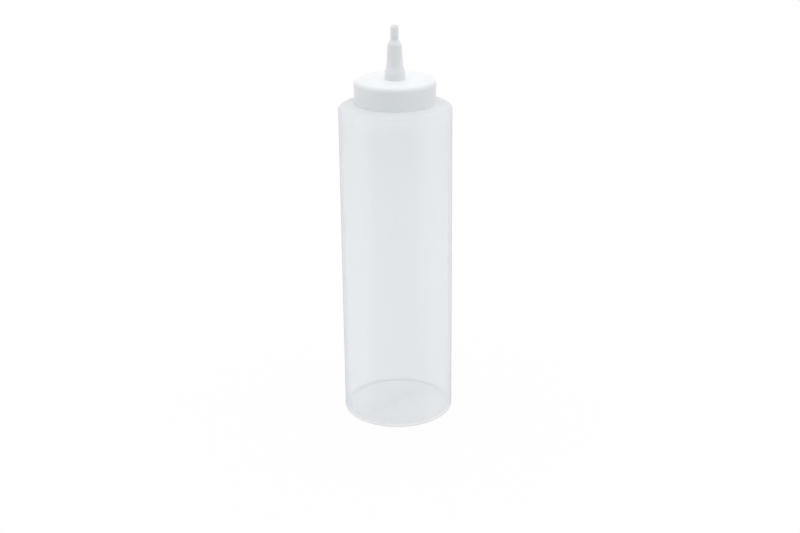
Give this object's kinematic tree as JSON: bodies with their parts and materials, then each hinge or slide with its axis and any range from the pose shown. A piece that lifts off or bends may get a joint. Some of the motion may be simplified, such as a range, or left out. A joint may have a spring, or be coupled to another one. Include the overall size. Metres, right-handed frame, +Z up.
{
  "type": "condiment squeeze bottle",
  "caption": "Slim cylindrical squeeze bottle with a pushed-up base, threaded neck, flat seal and smooth screw cap with a hollow stepped cone nozzle.",
  "frame": {"origin": "middle of the base, on the bottle's axis, at the height of the ring that it stands on", "axes": "+Z up the bottle's axis towards the nozzle's tip, +X along the pinch-off scar under the base"},
  "size_m": [0.07, 0.07, 0.2526],
  "materials": {
    "natural_ldpe": "satin, milky and see-through",
    "silicone": "matte",
    "moulded_polypropylene": "smooth satin"
  },
  "bodies": {
    "bottle": {"bottle_body": "natural_ldpe"},
    "seal": {"cap_seal": "silicone"},
    "cap": {"screw_cap": "moulded_polypropylene"}
  },
  "joints": [
    {"name": "cap_lift", "type": "slide", "parent": "bottle", "child": "seal", "axis": [0, 0, 1], "range_m": [0, 0.0053]},
    {"name": "cap_turn", "type": "hinge", "parent": "seal", "child": "cap", "pos_m": [0, 0, 0.2164], "axis": [0, 0, 1], "range_deg": [0, 450]}
  ],
  "couplings": [
    {"joint": "cap_lift", "follows": "cap_turn", "m_per_rad": 0.00066845}
  ]
}
